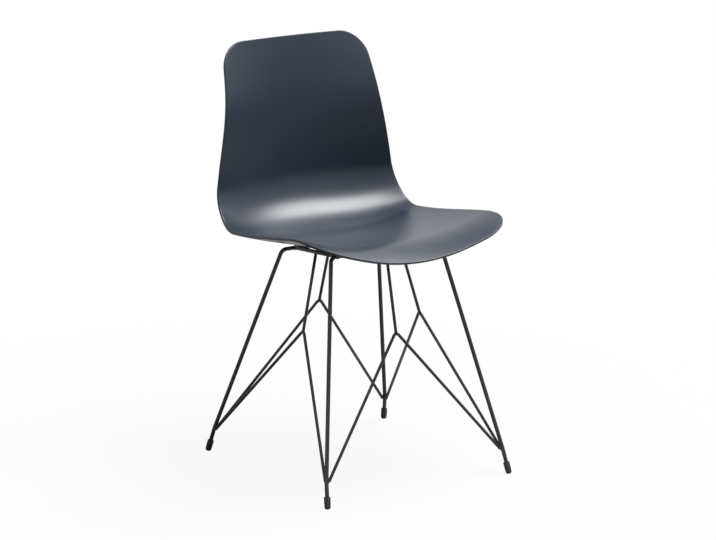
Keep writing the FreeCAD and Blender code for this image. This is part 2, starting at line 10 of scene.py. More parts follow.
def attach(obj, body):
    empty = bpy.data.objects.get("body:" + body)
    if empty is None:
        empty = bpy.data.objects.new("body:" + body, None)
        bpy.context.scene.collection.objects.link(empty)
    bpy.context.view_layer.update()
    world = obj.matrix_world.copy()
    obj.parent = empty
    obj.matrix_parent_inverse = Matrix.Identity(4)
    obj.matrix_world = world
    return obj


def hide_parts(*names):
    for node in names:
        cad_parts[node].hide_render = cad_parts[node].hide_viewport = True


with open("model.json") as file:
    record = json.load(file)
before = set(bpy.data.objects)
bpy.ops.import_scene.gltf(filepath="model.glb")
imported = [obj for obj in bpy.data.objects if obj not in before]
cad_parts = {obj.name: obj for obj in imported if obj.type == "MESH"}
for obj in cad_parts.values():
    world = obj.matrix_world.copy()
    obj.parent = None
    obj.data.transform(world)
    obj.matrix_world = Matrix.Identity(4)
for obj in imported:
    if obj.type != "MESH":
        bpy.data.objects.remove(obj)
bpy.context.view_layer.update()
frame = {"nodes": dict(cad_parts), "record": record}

# A moulded plastic shell chair on a bent wire base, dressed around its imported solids.
# Sizes are in millimetres, as on the part's sheet, and become metres when a mesh is made.

mm = 0.001


# Small vector helpers on arrays whose last axis is x, y, z

def vec(*xyz):
    return np.array(xyz, float)


def unit(a):
    return a / np.linalg.norm(a, axis=-1, keepdims=True)


def mirrored(point, side):
    return point * vec(side, 1, 1)


# Mesh making

def meshFrom(name, parts):
    # One object from several (points, faces) pairs; points in millimetres.
    points, faces, start = [], [], 0
    for partPoints, partFaces in parts:
        points.append(partPoints.reshape(-1, 3))
        faces.append(partFaces + start)
        start += points[-1].shape[0]
    mesh = bpy.data.meshes.new(name)
    mesh.from_pydata(np.concatenate(points) * mm, [], np.concatenate(faces).tolist())
    mesh.validate()
    mesh.shade_smooth()
    piece = bpy.data.objects.new(name, mesh)
    bpy.context.scene.collection.objects.link(piece)
    return piece


def gridFaces(rows, columns, closedRows=False, closedColumns=False):
    # Quads of a grid of points, counted row by row; a closed side joins its last line to its first.
    r = np.arange(rows if closedRows else rows - 1)[:, None]
    c = np.arange(columns if closedColumns else columns - 1)[None, :]
    r2, c2 = (r + 1) % rows, (c + 1) % columns
    corners = [r * columns + c, r * columns + c2, r2 * columns + c2, r2 * columns + c]
    return np.stack(corners, -1).reshape(-1, 4)


print("scene: helpers ready")

# Camera, found from the photograph: a long lens from the sitter's right and a little above

cameraForm = {"place": vec(-3485.18, -5470.51, 2018.59), "yaw": 0.56873059, "pitch": 0.24594103,
              "focalPixels": 3400.053, "imageWidth": 716, "sensor": 36.0, "shiftPixels": (-0.5, 0.5),
              "clipEnd": 50}


def makeCamera(form):
    yaw, pitch = form["yaw"], form["pitch"]
    ahead = vec(math.sin(yaw) * math.cos(pitch), math.cos(yaw) * math.cos(pitch), -math.sin(pitch))
    right = vec(math.cos(yaw), -math.sin(yaw), 0)
    up = np.cross(right, ahead)
    data = bpy.data.cameras.new("photoCamera")
    data.sensor_fit = "HORIZONTAL"
    data.sensor_width = form["sensor"]
    data.lens = form["focalPixels"] * form["sensor"] / form["imageWidth"]
    data.shift_x = form["shiftPixels"][0] / form["imageWidth"]
    data.shift_y = form["shiftPixels"][1] / form["imageWidth"]
    data.clip_end = form["clipEnd"]
    camera = bpy.data.objects.new("photoCamera", data)
    turn = Matrix(np.stack([right, up, -ahead], 1).tolist()).to_4x4()
    camera.matrix_world = Matrix.Translation((form["place"] * mm).tolist()) @ turn
    bpy.context.scene.collection.objects.link(camera)
    bpy.context.scene.camera = camera


makeCamera(cameraForm)
print("scene: camera placed")

# Shader maths: Num wraps a socket, so that plain operators add Math nodes

class Num:
    def __init__(self, paint, socket):
        self.paint, self.socket = paint, socket

    def maths(self, operation, a, b, clamp=False):
        node = self.paint.tree.nodes.new("ShaderNodeMath")
        node.operation, node.use_clamp = operation, clamp
        self.paint.feed(node.inputs[0], a)
        self.paint.feed(node.inputs[1], b)
        return Num(self.paint, node.outputs[0])

    def __add__(self, other): return self.maths("ADD", self, other)
    def __radd__(self, other): return self.maths("ADD", other, self)
    def __sub__(self, other): return self.maths("SUBTRACT", self, other)
    def __rsub__(self, other): return self.maths("SUBTRACT", other, self)
    def __mul__(self, other): return self.maths("MULTIPLY", self, other)
    def __rmul__(self, other): return self.maths("MULTIPLY", other, self)
    def __truediv__(self, other): return self.maths("DIVIDE", self, other)
    def clamped(self): return self.maths("ADD", self, 0.0, clamp=True)


class Paint:
    # One material; node() adds any node from its type, settings and socket values.

    def __init__(self, name):
        self.material = bpy.data.materials.new(name)
        self.material.use_nodes = True
        self.tree = self.material.node_tree
        self.shader = self.tree.nodes["Principled BSDF"]
        self.output = self.tree.nodes["Material Output"]
        self.where = self.node("ShaderNodeTexCoord").outputs["Object"]

    def feed(self, socket, value):
        if isinstance(value, Num):
            value = value.socket
        if isinstance(value, bpy.types.NodeSocket):
            self.tree.links.new(value, socket)
        else:
            socket.default_value = value

    def node(self, kind, settings=(), **sockets):
        node = self.tree.nodes.new(kind)
        for name, value in dict(settings).items():
            setattr(node, name, value)
        for name, value in sockets.items():
            self.feed(node.inputs[name.replace("_", " ")], value)
        return node

    def noise(self, scale, detail, stretch=None):
        # Noise from 0 to 1 on Object coordinates; stretch squeezes it along the axes.
        where = self.where
        if stretch is not None:
            where = self.node("ShaderNodeMapping", Vector=where, Scale=stretch).outputs[0]
        made = self.node("ShaderNodeTexNoise", Vector=where, Scale=scale, Detail=detail)
        return Num(self, made.outputs["Fac"])

    def mixed(self, share, one, other):
        # A colour between two, as share goes from 0 to 1. The node's inputs 6 and 7 are its colours.
        node = self.node("ShaderNodeMix", {"data_type": "RGBA", "clamp_factor": True})
        self.feed(node.inputs[0], share)
        self.feed(node.inputs[6], one)
        self.feed(node.inputs[7], other)
        return node.outputs[2]

    def bumped(self, height, distance, strength):
        return self.node("ShaderNodeBump", Height=height, Distance=distance, Strength=strength).outputs[0]

    def finish(self, **sockets):
        for name, value in sockets.items():
            self.feed(self.shader.inputs[name.replace("_", " ")], value)


white = (1, 1, 1, 1)


def linear(red, green, blue):
    # A colour given as 0 to 255 in each channel, brought by the sRGB curve to what the renderer wants.
    share = vec(red, green, blue) / 255
    return tuple(np.where(share <= 0.04045, share / 12.92, ((share + 0.055) / 1.055) ** 2.4)) + (1.0,)


# Each finish varies by noise: scales are in cycles per metre, shines are swings of the roughness

shellFinish = {"dark": (22, 30, 41), "light": (25, 34, 46), "roughness": 0.33, "specular": 0.42,
               "clouds": 9, "wear": 60, "wearShine": 0.05, "grain": 900, "grainShine": 0.04,
               "grainDepth": 0.00003, "grainStrength": 0.35}
steelFinish = {"dark": (25, 25, 26), "light": (32, 32, 33), "roughness": 0.4, "patches": 35,
               "patchShine": 0.08, "peel": 700, "peelDepth": 0.00002, "peelStrength": 0.3}
capFinish = {"dark": (12, 12, 13), "light": (20, 20, 21), "roughness": 0.5, "speckle": 500,
             "speckleShine": 0.1, "speckleDepth": 0.00005, "speckleStrength": 0.4}
padFinish = {"dark": (20, 20, 20), "light": (32, 32, 32), "roughness": 0.8, "speckle": 350,
             "speckleShine": 0.1, "speckleDepth": 0.00005, "speckleStrength": 0.4}
insertFinish = {"dark": (190, 150, 80), "light": (214, 178, 104), "roughness": 0.35, "marks": 300,
                "stretch": (1, 1, 8), "markShine": 0.15, "markDepth": 0.00003, "markStrength": 0.3}
screwFinish = {"dark": (150, 152, 156), "light": (186, 188, 192), "roughness": 0.32, "marks": 300,
               "stretch": (1, 1, 8), "markShine": 0.15, "markDepth": 0.00003, "markStrength": 0.3}


def shellPlastic(form):
    paint = Paint("shellPlastic")
    cloudy = paint.noise(form["clouds"], detail=3)
    grain = paint.noise(form["grain"], detail=2)
    worn = paint.noise(form["wear"], detail=4)
    paint.finish(
        Base_Color=paint.mixed(cloudy, linear(*form["dark"]), linear(*form["light"])),
        Specular_IOR_Level=form["specular"],
        Roughness=form["roughness"] + form["wearShine"] * (worn - 0.5) + form["grainShine"] * (grain - 0.5),
        Normal=paint.bumped(grain, form["grainDepth"], form["grainStrength"]))
    return paint.material


def powderCoat(form):
    paint = Paint("powderCoat")
    peel = paint.noise(form["peel"], detail=2)
    patches = paint.noise(form["patches"], detail=3)
    paint.finish(
        Base_Color=paint.mixed(patches, linear(*form["dark"]), linear(*form["light"])),
        Roughness=form["roughness"] + form["patchShine"] * (patches - 0.5),
        Normal=paint.bumped(peel, form["peelDepth"], form["peelStrength"]))
    return paint.material


def plainMoulding(name, form):
    paint = Paint(name)
    speckle = paint.noise(form["speckle"], detail=3)
    paint.finish(
        Base_Color=paint.mixed(speckle, linear(*form["dark"]), linear(*form["light"])),
        Roughness=form["roughness"] + form["speckleShine"] * (speckle - 0.5),
        Normal=paint.bumped(speckle, form["speckleDepth"], form["speckleStrength"]))
    return paint.material


def brightMetal(name, form):
    paint = Paint(name)
    marks = paint.noise(form["marks"], detail=3, stretch=form["stretch"])
    paint.finish(
        Base_Color=paint.mixed(marks, linear(*form["dark"]), linear(*form["light"])), Metallic=1.0,
        Roughness=form["roughness"] + form["markShine"] * (marks - 0.5),
        Normal=paint.bumped(marks, form["markDepth"], form["markStrength"]))
    return paint.material


finishes = {
    "shell_plastic": shellPlastic(shellFinish),
    "frame_steel": powderCoat(steelFinish),
    "cap_plastic": plainMoulding("capPlastic", capFinish),
    "pad_rubber": plainMoulding("padRubber", padFinish),
    "insert_brass": brightMetal("insertBrass", insertFinish),
    "screw_steel": brightMetal("screwSteel", screwFinish),
}


def dress(piece, slot, *nodes):
    # A finished piece: its material, the body that it rides on and the CAD nodes that it stands for.
    piece.data.materials.clear()
    piece.data.materials.append(finishes[slot])
    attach(piece, "root")
    if nodes:
        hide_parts(*nodes)
    return piece


print("scene: materials ready")

# Shell. The middle of its thickness is a line in side view, from the front edge to the top edge: an arc
# over the brim, a straight sloping seat, an arc for the bend, a short upright and a long lumbar arc. Each
# point of the line carries a bow across the chair, and towards the front the bow's edges roll down again:
# height = lift * (across / half width) ** flatness - roll * (across / half width) ** sharpness.

shellForm = {
    "thickness": 5, "rimRounding": 1.1, "rimSteps": 13, "frontEdge": (-240.5, 457.5), "brimRadius": 177.5,
    "seatSlope": 6.9, "bendRadius": 109, "seatRear": (97.1, 445.5), "lumbarHeight": 599,
    "lumbarRadius": 1135, "topEdgeHeight": 823.2, "frontCorner": 71, "topCorner": 50,
    "halfWidths": {"brim": 224, "waist": 216.7, "bend": 211.3, "lumbar": 203, "shoulder": 177, "top": 162},
    "lifts": {"brim": 58.5, "frontSeat": 39.7, "hip": 28.6, "bend": 40.7, "lumbar": 42, "shoulder": 37,
              "top": 13},
    "flatness": {"brim": 2.02, "seat": 2.76, "back": 2},
    "rolls": {"brim": 22, "frontSeat": 5}, "rollSharpness": 7.7,
    "rows": 150, "columns": 121, "cornerRows": 26,
}


def sideView(y, z):
    return np.stack([np.zeros_like(y), y, z], -1)


def angled(angle):
    # Unit vectors in side view, at an angle from straight back towards up.
    return sideView(np.cos(angle), np.sin(angle))


class MiddleLine:
    # The shell's side view, as the part's source works it out.

    def __init__(self, form):
        self.form = form
        slope = math.radians(form["seatSlope"])
        self.slope = slope
        self.seatNormal = vec(0, math.sin(slope), math.cos(slope))
        self.seatForward = vec(0, -math.cos(slope), math.sin(slope))
        frontEdge = vec(0, *form["frontEdge"])
        brim, bend = form["brimRadius"], form["bendRadius"]
        seatRear = vec(0, *form["seatRear"])
        self.bendCentre = seatRear + self.seatNormal * bend
        toCentre = seatRear - self.seatNormal * brim - frontEdge
        along = toCentre @ self.seatForward
        seatLength = -along - math.sqrt(along ** 2 - toCentre @ toCentre + brim ** 2)
        self.seatFront = seatRear + self.seatForward * seatLength
        self.brimCentre = self.seatFront - self.seatNormal * brim
        brimAngle = math.acos(float(unit(frontEdge - self.brimCentre) @ self.seatNormal))
        lumbarReach = math.asin((form["topEdgeHeight"] - form["lumbarHeight"]) / form["lumbarRadius"])
        self.lumbarCentre = vec(0, self.bendCentre[1] + bend + form["lumbarRadius"], form["lumbarHeight"])
        self.brimEnd = brim * brimAngle
        self.seatEnd = self.brimEnd + seatLength
        self.bendEnd = self.seatEnd + bend * (math.pi / 2 + slope)
        self.uprightEnd = self.bendEnd + form["lumbarHeight"] - self.bendCentre[2]
        self.length = self.uprightEnd + form["lumbarRadius"] * lumbarReach
        bendMiddle = (self.seatEnd + self.bendEnd) / 2
        shoulder = (self.uprightEnd + self.length) / 2
        wide, lift, flat = form["halfWidths"], form["lifts"], form["flatness"]
        self.widthStops = [(0, wide["brim"]), (self.brimEnd, wide["brim"]), (self.seatEnd, wide["waist"]),
                           (bendMiddle, wide["bend"]), (self.bendEnd, wide["lumbar"]),
                           (shoulder, wide["shoulder"]), (self.length, wide["top"])]
        self.liftStops = [(0, lift["brim"]), (self.brimEnd, lift["frontSeat"]), (self.seatEnd, lift["hip"]),
                          (bendMiddle, lift["bend"]), (self.uprightEnd, lift["lumbar"]),
                          (shoulder, lift["shoulder"]), (self.length, lift["top"])]
        self.flatStops = [(0, flat["brim"]), (self.brimEnd, flat["seat"]), (self.seatEnd, flat["seat"]),
                          (self.bendEnd, flat["back"]), (self.length, flat["back"])]
        self.rollStops = [(0, form["rolls"]["brim"]), (self.brimEnd, form["rolls"]["frontSeat"]),
                          (self.seatEnd, 0), (self.bendEnd, 0), (self.length, 0)]

    def at(self, travel):
        # Centre, inward normal and the way that the sides rise, at distances from the front edge.
        form = self.form
        brim, bend, lumbar = form["brimRadius"], form["bendRadius"], form["lumbarRadius"]
        onBrim = (travel < self.brimEnd)[..., None]
        onSeat = (travel < self.seatEnd)[..., None]
        onBend = (travel < self.bendEnd)[..., None]
        onUpright = (travel < self.uprightEnd)[..., None]
        forward = np.broadcast_to(vec(0, -1, 0), travel.shape + (3,))
        brimNormal = angled(math.pi / 2 - self.slope + (self.brimEnd - travel) / brim)
        bendNormal = -angled(-math.pi / 2 - self.slope + (travel - self.seatEnd) / bend)
        lumbarNormal = angled(math.pi - (travel - self.uprightEnd) / lumbar)
        centre = np.where(onBrim, self.brimCentre + brimNormal * brim,
                 np.where(onSeat, self.seatFront - self.seatForward * (travel - self.brimEnd)[..., None],
                 np.where(onBend, self.bendCentre - bendNormal * bend,
                 np.where(onUpright, self.bendCentre + sideView(bend + 0 * travel, travel - self.bendEnd),
                          self.lumbarCentre + lumbarNormal * lumbar))))
        normal = np.where(onBrim, brimNormal, np.where(onSeat, self.seatNormal,
                 np.where(onBend, bendNormal, np.where(onUpright, forward, lumbarNormal))))
        rising = np.where(onSeat, self.seatNormal, np.where(onBend, bendNormal, forward))
        return centre, normal, rising


def blended(travel, stops):
    # A smooth curve through (travel, value) stops: cubics whose slopes come from the neighbours.
    places, values = np.array(stops, float).T
    slopes = np.diff(values) / np.diff(places)
    tangents = np.concatenate([slopes[:1], (slopes[1:] + slopes[:-1]) / 2, slopes[-1:]])
    number = np.clip(np.searchsorted(places, travel) - 1, 0, len(slopes) - 1)
    span = places[number + 1] - places[number]
    x = (travel - places[number]) / span
    return (values[number] * (1 + 2 * x) * (1 - x) ** 2 + values[number + 1] * x * x * (3 - 2 * x)
            + span * x * (1 - x) * (tangents[number] * (1 - x) - tangents[number + 1] * x))


line = MiddleLine(shellForm)


def shellPoint(travel, across, offset=0.0):
    # centre + across + rising * (lift * share ** flatness - roll * share ** sharpness), where share is
    # across / half width, moved by offset along the normal of the bow
    centre, normal, rising = line.at(travel)
    half = blended(travel, line.widthStops)
    lift = blended(travel, line.liftStops)
    flat = blended(travel, line.flatStops)
    roll = blended(travel, line.rollStops)
    sharp = line.form["rollSharpness"]
    share = np.abs(across) / half
    rise = lift * share ** flat - roll * share ** sharp
    steep = lift * flat * share ** (flat - 1) - roll * sharp * share ** (sharp - 1)
    lean = -np.sign(across) * steep / half
    sideways = vec(1, 0, 0)
    square = unit(lean[..., None] * sideways + normal)
    offset = np.broadcast_to(np.asarray(offset, float), travel.shape)
    return centre + across[..., None] * sideways + rising * rise[..., None] + square * offset[..., None]


def sheetGrid(form, inset):
    # Travel and across of a grid over the sheet, its outline rounded at four corners and drawn in by inset.
    front, top = form["frontCorner"] - inset, form["topCorner"] - inset
    turn = np.linspace(0, math.pi / 2, form["cornerRows"])
    frontRows = inset + front * (1 - np.cos(turn))
    topRows = line.length - inset - top * (1 - np.cos(turn[::-1]))
    between = np.linspace(frontRows[-1], topRows[0], form["rows"] - 2 * form["cornerRows"] + 2)[1:-1]
    travel = np.concatenate([frontRows, between, topRows])
    drawnIn = np.concatenate([front * (1 - np.sin(turn)), 0 * between, top * (1 - np.sin(turn[::-1]))])
    half = blended(travel, line.widthStops) - inset - drawnIn
    share = np.linspace(-1, 1, form["columns"])
    return travel[:, None] + 0 * share[None, :], half[:, None] * share[None, :]


def around(grid):
    # The outer points of a grid in order, once round.
    return np.concatenate([grid[0, :-1], grid[:-1, -1], grid[-1, :0:-1], grid[:0:-1, 0]])


def rimBand(form):
    # A half-round section carried round the outline, from the inner skin over the edge to the outer skin.
    half, rounding = form["thickness"] / 2, form["rimRounding"]
    turns = np.linspace(math.pi / 2, -math.pi / 2, form["rimSteps"])
    rings = []
    for turn in turns:
        travel, across = sheetGrid(form, rounding * (1 - math.cos(turn)))
        offset = math.copysign(half - rounding, turn) + rounding * math.sin(turn)
        rings.append(around(shellPoint(travel, across, offset)))
    return np.stack(rings)


def shellSheet(form):
    # Two skins and the rim band between them, as one closed sheet.
    rows, columns = form["rows"], form["columns"]
    travel, across = sheetGrid(form, form["rimRounding"])
    half = form["thickness"] / 2
    faces = gridFaces(rows, columns)
    inner = (shellPoint(travel, across, half), faces)
    outer = (shellPoint(travel, across, -half), faces[:, ::-1])
    rings = rimBand(form)
    band = (rings, gridFaces(rings.shape[0], rings.shape[1], closedColumns=True)[:, ::-1])
    return [inner, outer, band]


def welded(piece, distance=0.00002):
    # Joins points that lie together, so that a piece's faces meet
    work = bmesh.new()
    work.from_mesh(piece.data)
    bmesh.ops.remove_doubles(work, verts=work.verts, dist=distance)
    bmesh.ops.recalc_face_normals(work, faces=work.faces)
    work.to_mesh(piece.data)
    work.free()
    return piece


# Turned shapes: a profile of (radius, height) points turned about an axis, closed where its radius is zero

def squareTo(direction, guide):
    # Two unit vectors square to a direction and to each other; guide is any vector not along it
    one = unit(np.cross(direction, guide))
    return one, np.cross(direction, one)


def turned(profile, foot, axis, guide, sides=48):
    # foot + axis * height + radius * (one * cos + other * sin), once round
    radius, height = np.array(profile, float).T[:, :, None]
    turn = np.linspace(0, 2 * math.pi, sides, endpoint=False)[None, :]
    one, other = squareTo(axis, guide)
    outward = one * np.cos(turn)[..., None] + other * np.sin(turn)[..., None]
    points = foot + axis * height[..., None] + radius[..., None] * outward
    return points, gridFaces(len(profile), sides, closedColumns=True)


def quarter(centre, radius, start, end, steps=7):
    # Profile points on an arc, its angles in degrees from the radius axis towards the height axis
    angle = np.radians(np.linspace(start, end, steps))
    return list(zip(centre[0] + radius * np.cos(angle), centre[1] + radius * np.sin(angle)))


# Deck: the sloping plane through the axes of the two cross rods, on which the shell is mounted

deckForm = {"frontRod": (-116, 457), "rearRod": (85.5, 430), "frontMount": (88.83, -86),
            "rearMount": (69.17, 55.5), "bossFoot": 9}
deckRise = deckForm["frontRod"][1] - deckForm["rearRod"][1]
deckRun = deckForm["rearRod"][0] - deckForm["frontRod"][0]
deckNormal = unit(vec(0, deckRise, deckRun))


def deckPoint(sideways, back, height=0.0):
    level = deckForm["rearRod"][1] + (deckForm["rearRod"][0] - back) * deckRise / deckRun
    return vec(sideways, back, level) + deckNormal * height


bossForm = {"radius": 12.5, "footRounding": 0.8, "holeRadius": 4.6, "holeDepth": 7.2, "holeChamfer": 0.4,
            "rootFlare": 3.0, "intoSheet": 1.5}


def boss(form, sideways, back):
    # A round boss with a blind hole for its insert; its root flares into the underside of the sheet
    foot = deckPoint(sideways, back, deckForm["bossFoot"])
    travel = line.brimEnd + (line.seatFront - foot) @ line.seatForward
    top = shellPoint(np.array([travel]), np.array([float(sideways)]), -shellForm["thickness"] / 2)[0]
    height = float((top - foot) @ deckNormal)
    radius, hole, flare = form["radius"], form["holeRadius"], form["rootFlare"]
    depth, chamfer, rounding = form["holeDepth"], form["holeChamfer"], form["footRounding"]
    profile = [(0, depth), (hole, depth), (hole, chamfer), (hole + chamfer, 0)]
    profile += quarter((radius - rounding, rounding), rounding, -90, 0)
    profile += quarter((radius + flare, height - flare), flare, 180, 90)
    profile += [(radius + flare, height + form["intoSheet"]), (0, height + form["intoSheet"])]
    return turned(profile, foot, deckNormal, vec(1, 0, 0))


mountPlaces = (deckForm["frontMount"], deckForm["rearMount"])
bosses = [boss(bossForm, side * sideways, back) for sideways, back in mountPlaces for side in (1, -1)]
shell = meshFrom("moulded_shell", shellSheet(shellForm) + bosses)
welded(shell)
dress(shell, "shell_plastic", "seat_shell")
print("scene: shell made")

# Rods: a round section carried along straight runs and the arcs that join them

rodForm = {"rod": 8.0, "wire": 6.0, "shoulderBend": 12, "ankleBend": 60, "forkBend": 7, "arcSteps": 16,
           "sides": 32, "endRounding": 0.6, "sunkShare": 0.6}
beadForm = {"rod": 1.3, "wire": 1.1, "crook": 0.88, "ripple": 0.08, "waves": 9, "fineWaves": 17,
            "fineShare": 0.6, "centreShare": 0.2, "swellShare": 0.7, "aroundSteps": 56, "sectionSteps": 14}
tongueForm = {"halfLength": 7.0, "halfWidth": 2.3, "height": 1.8, "fromEnd": 1.5, "sunkShare": 0.75,
              "ripple": 0.08, "waves": 9, "aroundSteps": 36, "overSteps": 19}
legForm = {
    "front": {"foot": vec(211, -239, 0), "ankle": vec(204.5, -224.5, 50),
              "shoulder": vec(125, *deckForm["frontRod"])},
    "rear": {"foot": vec(211, 215, 0), "ankle": vec(204, 200, 50),
             "shoulder": vec(112, *deckForm["rearRod"])},
}
braceForm = {"front": vec(0, -152, 300.5), "rear": vec(0, 127, 305.5), "side": vec(135, -31, 295.5),
             "sideStemBack": -15}
railForm = {"front": 110, "rear": 82}


def bendAt(before, corner, after, radius, steps):
    # centre + radius * (towards the corner * cos + along * sin), between the two points of touch
    inward, outward = unit(before - corner), unit(after - corner)
    half = (math.pi - math.acos(float(inward @ outward))) / 2
    middle, along = unit(inward + outward), unit(outward - inward)
    turn = np.linspace(-half, half, steps)[:, None]
    centre = corner + middle * radius / math.cos(half)
    return centre + radius * (along * np.sin(turn) - middle * np.cos(turn))


def rodPath(corners, radii):
    runs = [corners[0][None]]
    for before, corner, after, radius in zip(corners, corners[1:], corners[2:], radii):
        runs.append(bendAt(before, corner, after, radius, rodForm["arcSteps"]))
    return np.concatenate(runs + [corners[-1][None]])


def rodAlong(path, radius, guide):
    # path + radius * (one * cos + other * sin), with the ends rounded and closed
    ahead = unit(np.concatenate([path[1:2] - path[:1], path[2:] - path[:-2], path[-1:] - path[-2:-1]]))
    small = rodForm["endRounding"]
    path = np.concatenate([path[:1], path[:1], path[:1] + ahead[:1] * small, path[1:-1],
                           path[-1:] - ahead[-1:] * small, path[-1:], path[-1:]])
    ahead = np.concatenate([ahead[:1], ahead[:1], ahead, ahead[-1:], ahead[-1:]])
    radii = np.full(len(path), radius)
    radii[[1, -2]] = radius - small
    radii[[0, -1]] = 0
    turn = np.linspace(0, 2 * math.pi, rodForm["sides"], endpoint=False)[None, :, None]
    one = unit(np.cross(ahead, guide))[:, None]
    other = np.cross(ahead[:, None], one)
    points = path[:, None] + radii[:, None, None] * (one * np.cos(turn) + other * np.sin(turn))
    return points, gridFaces(len(path), rodForm["sides"], closedColumns=True)


def weldBead(form, joint, rodWay, rodRadius, branchWay, branchRadius, bead):
    # A ring of round section in the corner between a branch and the rod that it meets. Each point lies at
    # a reach from the branch's axis and at the height where that reach meets the rod's round surface.
    turn = np.linspace(0, 2 * math.pi, form["aroundSteps"], endpoint=False)[:, None]
    section = np.linspace(0, 2 * math.pi, form["sectionSteps"], endpoint=False)[None, :]
    waves = np.sin(form["waves"] * turn) + form["fineShare"] * np.sin(form["fineWaves"] * turn + 1)
    ripple = bead * (1 + form["ripple"] * waves)
    middle, swell = form["centreShare"], form["swellShare"]
    one, other = squareTo(branchWay, rodWay)
    reach = branchRadius + ripple * (middle + swell * np.cos(section))
    sideways = reach[..., None] * (one * np.cos(turn)[..., None] + other * np.sin(turn)[..., None])
    tilt = float(branchWay @ rodWay)
    along = sideways @ rodWay
    square = 1 - tilt ** 2
    inside = (along * tilt) ** 2 - square * (reach ** 2 - along ** 2 - rodRadius ** 2)
    onRod = (along * tilt + np.sqrt(np.maximum(inside, 0))) / square
    height = onRod + ripple * (middle + swell * np.sin(section))
    points = joint + sideways + branchWay * height[..., None]
    return points, gridFaces(form["aroundSteps"], form["sectionSteps"], closedRows=True, closedColumns=True)


def weldTongue(form, centre, along, outward):
    # A long drop of weld beside a wire's end, its surface gently rippled
    turn, over = np.meshgrid(np.linspace(0, 2 * math.pi, form["aroundSteps"], endpoint=False),
                             np.linspace(0, math.pi, form["overSteps"]))
    ripple = 1 + form["ripple"] * np.cos(form["waves"] * over) * np.sin(over)
    sideways = np.cross(along, outward)
    points = centre + (along * (form["halfLength"] * np.cos(over))[..., None]
                       + sideways * (form["halfWidth"] * ripple * np.sin(over) * np.cos(turn))[..., None]
                       + outward * (form["height"] * ripple * np.sin(over) * np.sin(turn))[..., None])
    return points, gridFaces(form["overSteps"], form["aroundSteps"], closedColumns=True)


def steelPiece(name, node, parts):
    return dress(welded(meshFrom(name, parts)), "frame_steel", node)


rodRadius, wireRadius = rodForm["rod"] / 2, rodForm["wire"] / 2

# The caps' sizes come before the hoops, whose ends stand on the floors of the caps' bores
capForm = {"tipRadius": 6.0, "mouthRadius": 6.5, "length": 24.0, "floor": 4.0, "rodGap": 0.4,
           "tipRounding": 4.5, "flatDepth": 0.8, "wallShares": (0.3, 0.5, 0.7, 0.9), "lipStart": 20.6,
           "lipRounding": 0.9, "lipTaper": 0.05, "grooveDepth": 0.25, "grooveStart": 0.4,
           "grooveEnd": 0.9, "lipRise": 1.3, "boreClearance": 0.05, "boreChamfer": 0.3}


def capTip(form, leg):
    # The middle of a cap's tip on the leg's axis, low enough for the floor to wear its rounding flat
    up = unit(leg["ankle"] - leg["foot"])
    tilt = math.acos(up[2])
    rounding = form["tipRounding"]
    lowest = (form["tipRadius"] - rounding) * math.sin(tilt) + rounding * (1 - math.cos(tilt))
    return leg["foot"] + up * (lowest - form["flatDepth"]) / math.cos(tilt)


for end, leg in legForm.items():
    up = unit(leg["ankle"] - leg["foot"])
    footEnd = capTip(capForm, leg) + up * (capForm["floor"] + capForm["rodGap"])
    leftHalf = [footEnd, leg["ankle"], leg["shoulder"]]
    corners = leftHalf + [mirrored(point, -1) for point in reversed(leftHalf)]
    ankle, shoulder = rodForm["ankleBend"], rodForm["shoulderBend"]
    path = rodPath(corners, [ankle, shoulder, shoulder, ankle])
    steelPiece(f"{end}_hoop_rod", f"{end}_leg_hoop", [rodAlong(path, rodRadius, vec(0, 1, 0))])


def railHalfWidth(back):
    share = (deckForm["rearRod"][0] - back) / deckRun
    return railForm["rear"] + share * (railForm["front"] - railForm["rear"])


for name, side in (("left", 1), ("right", -1)):
    ends = [deckPoint(side * railHalfWidth(back), back)
            for back in (deckForm["frontRod"][0], deckForm["rearRod"][0])]
    way = unit(ends[1] - ends[0])
    sunk = rodRadius * rodForm["sunkShare"]
    bar = rodAlong(np.stack([ends[0] + way * sunk, ends[1] - way * sunk]), rodRadius, vec(0, 0, 1))
    beads = [weldBead(beadForm, ends[0], vec(1, 0, 0), rodRadius, way, rodRadius, beadForm["rod"]),
             weldBead(beadForm, ends[1], vec(1, 0, 0), rodRadius, -way, rodRadius, beadForm["rod"])]
    steelPiece(f"{name}_rail_rod", f"{name}_side_rail", [bar] + beads)


def lapPoint(leg, fork):
    # Where a fork's wire ends beside the leg, and the way from the leg to it
    along = unit(leg["shoulder"] - leg["ankle"])
    towards = fork - leg["ankle"]
    beside = unit(towards - along * (towards @ along))
    return leg["ankle"] + beside * (rodRadius + wireRadius / 2), beside, along


def brace(name, fork, laps, top, rodWay, guide):
    # A fork of one bent wire lapped on two legs, and the stem from its crook to the rod above
    ends = [lap[0] for lap in laps]
    path = rodPath([ends[0], fork, ends[1]], [rodForm["forkBend"]])
    tongues = []
    for (end, beside, along) in laps:
        sunk = beside * wireRadius * tongueForm["sunkShare"]
        middle = end + unit(fork - end) * tongueForm["fromEnd"] - sunk
        tongues.append(weldTongue(tongueForm, middle, along, beside))
    steelPiece(f"{name}_fork_wire", f"{name}_brace_fork", [rodAlong(path, wireRadius, guide)] + tongues)
    crook = path[len(path) // 2 - 1: len(path) // 2 + 1].mean(0)   # the middle of the bend
    down = unit(crook - top)
    reach = unit(path[-2] - path[1])
    sunkShare = rodForm["sunkShare"]
    ends = np.stack([top + down * rodRadius * sunkShare, crook - down * wireRadius * sunkShare])
    bar = rodAlong(ends, wireRadius, guide)
    beads = [weldBead(beadForm, top, rodWay, rodRadius, down, wireRadius, beadForm["wire"]),
             weldBead(beadForm, crook, reach, wireRadius, -down, wireRadius, beadForm["crook"])]
    steelPiece(f"{name}_stem_wire", f"{name}_brace_stem", [bar] + beads)


